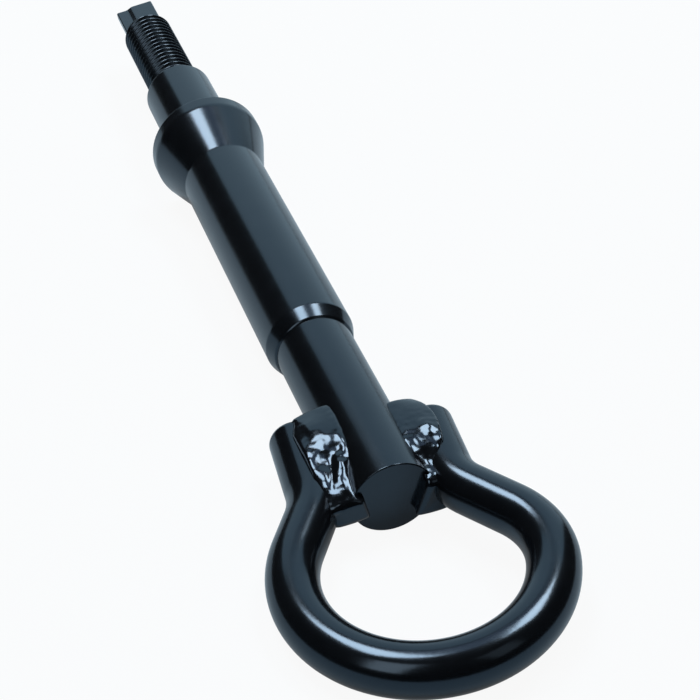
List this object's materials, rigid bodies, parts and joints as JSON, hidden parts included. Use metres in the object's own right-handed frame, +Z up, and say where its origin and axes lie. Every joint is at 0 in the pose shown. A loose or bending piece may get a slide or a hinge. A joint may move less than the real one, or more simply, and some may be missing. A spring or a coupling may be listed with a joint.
{
  "type": "tow eye",
  "caption": "Screw-in car tow eye: a bent round-bar eye welded to a turned shank with tapered collar, pilot spigot, threaded end and flat tip.",
  "frame": {"origin": "on the shank's axis, in the plane of the collar's seat, where the pilot spigot starts", "axes": "+Y along the shank towards the threaded tip, +Z up, square to the plane of the eye; the eye lies flat in XY at -Y"},
  "size_m": [0.0531, 0.2368, 0.025],
  "materials": {
    "paint": "satin to gloss black paint with a blue cast on steel",
    "weld": "the same black paint, glossier, over lumpy weld metal"
  },
  "bodies": {
    "root": {"shank": "paint", "eye_ring": "paint", "weld_left": "weld", "weld_right": "weld"}
  },
  "joints": []
}
